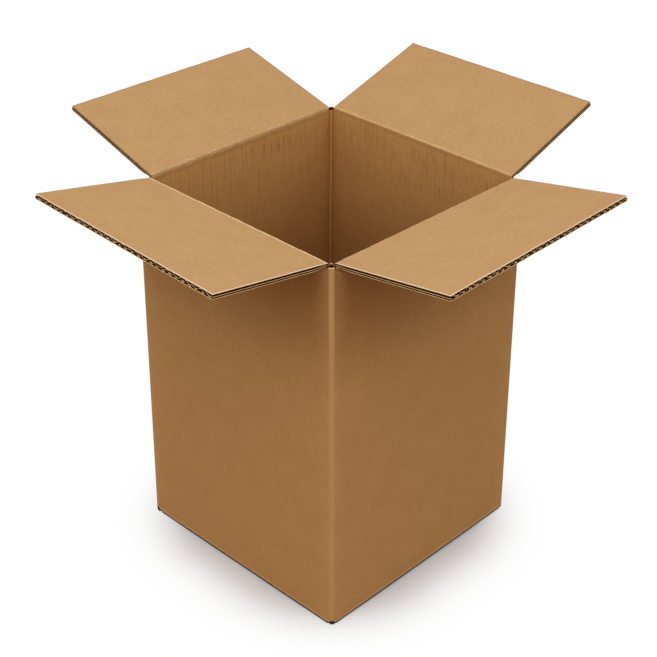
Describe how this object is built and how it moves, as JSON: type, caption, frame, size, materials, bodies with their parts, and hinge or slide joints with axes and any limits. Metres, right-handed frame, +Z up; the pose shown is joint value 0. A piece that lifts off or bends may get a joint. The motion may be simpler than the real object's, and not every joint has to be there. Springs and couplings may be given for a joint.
{
  "type": "double wall corrugated box",
  "caption": "Tall square-based slotted carton of double wall corrugated board, bottom closed, with open hinged top flaps.",
  "frame": {"origin": "on the floor, under the middle of the square base", "axes": "+X to the right flap, +Y to the back flap, +Z up through the open top"},
  "size_m": [0.6716, 0.6705, 0.5881],
  "materials": {
    "corrugated_board": "matte uncoated brown kraft liner"
  },
  "bodies": {
    "body": {"carton_body": "corrugated_board"},
    "front_flap": {"front_flap": "corrugated_board"},
    "right_flap": {"right_flap": "corrugated_board"},
    "back_flap": {"back_flap": "corrugated_board"},
    "left_flap": {"left_flap": "corrugated_board"}
  },
  "joints": [
    {"name": "front_fold", "type": "hinge", "parent": "body", "child": "front_flap", "pos_m": [0, -0.1718, 0.528], "axis": [1, 0, 0], "range_deg": [-169.5, 100.5]},
    {"name": "right_fold", "type": "hinge", "parent": "body", "child": "right_flap", "pos_m": [0.1718, 0, 0.52463], "axis": [0, 1, 0], "range_deg": [-170, 100]},
    {"name": "back_fold", "type": "hinge", "parent": "body", "child": "back_flap", "pos_m": [0, 0.1718, 0.528], "axis": [-1, 0, 0], "range_deg": [-161.5, 108.5]},
    {"name": "left_fold", "type": "hinge", "parent": "body", "child": "left_flap", "pos_m": [-0.1718, 0, 0.52463], "axis": [0, -1, 0], "range_deg": [-164.2, 105.8]}
  ]
}
